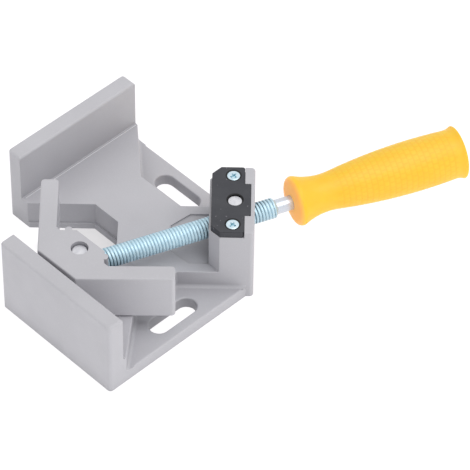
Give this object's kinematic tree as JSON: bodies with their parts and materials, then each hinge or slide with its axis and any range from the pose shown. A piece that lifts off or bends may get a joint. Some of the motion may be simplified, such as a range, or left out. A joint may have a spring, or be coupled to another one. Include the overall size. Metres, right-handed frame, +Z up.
{
  "type": "corner clamp",
  "caption": "Right-angle corner clamp for holding two work pieces square: cast base with two fences and a slotted flange, swivelling screw, pivoting V jaw and moulded handle.",
  "frame": {"origin": "The work corner: the point of the bench plane where the inner faces of the two fences would meet.", "axes": "+X runs along the near fence's face, +Y along the far fence's face, +Z up from the bench. The screw and jaw lie between +X and +Y."},
  "size_m": [0.1956, 0.272, 0.056],
  "materials": {
    "casting": "plain die casting, satin grey, slightly grained",
    "black_plate": "satin black coated steel plate",
    "small_zinc": "bright blue-white zinc plated small screws",
    "nut_steel": "turned steel, plain",
    "screw_zinc": "blue-white zinc plated trapezoidal screw",
    "handle_yellow": "moulded yellow plastic with a fine block grip pattern",
    "spring_steel": "dark spring steel"
  },
  "bodies": {
    "base": {"base_casting": "casting", "cover_plate": "black_plate", "cover_screws": "small_zinc"},
    "nut": {"swivel_nut": "nut_steel"},
    "carrier": {"jaw_barrel": "nut_steel", "thrust_washer": "nut_steel"},
    "screw": {"lead_screw": "screw_zinc", "handle": "handle_yellow", "nose_ring": "spring_steel"},
    "jaw": {"jaw": "casting"}
  },
  "joints": [
    {"name": "nut_swivel", "type": "hinge", "parent": "base", "child": "nut", "pos_m": [0.11527, 0.11527, 0.0386], "axis": [0, 0, 1], "range_deg": [-22, 0]},
    {"name": "screw_feed", "type": "slide", "parent": "nut", "child": "carrier", "axis": [0.3584, 0.9336, 0], "range_m": [0, 0.06]},
    {"name": "screw_spin", "type": "hinge", "parent": "carrier", "child": "screw", "pos_m": [0.07918, 0.02126, 0.0386], "axis": [0.3584, 0.9336, 0], "range_deg": [0, 10204.73]},
    {"name": "jaw_swivel", "type": "hinge", "parent": "carrier", "child": "jaw", "pos_m": [0.07918, 0.02126, 0.0386], "axis": [0, 0, 1], "range_deg": [-8, 0.5]}
  ],
  "couplings": [
    {"joint": "screw_spin", "follows": "screw_feed", "rad_per_m": 2968.4}
  ]
}
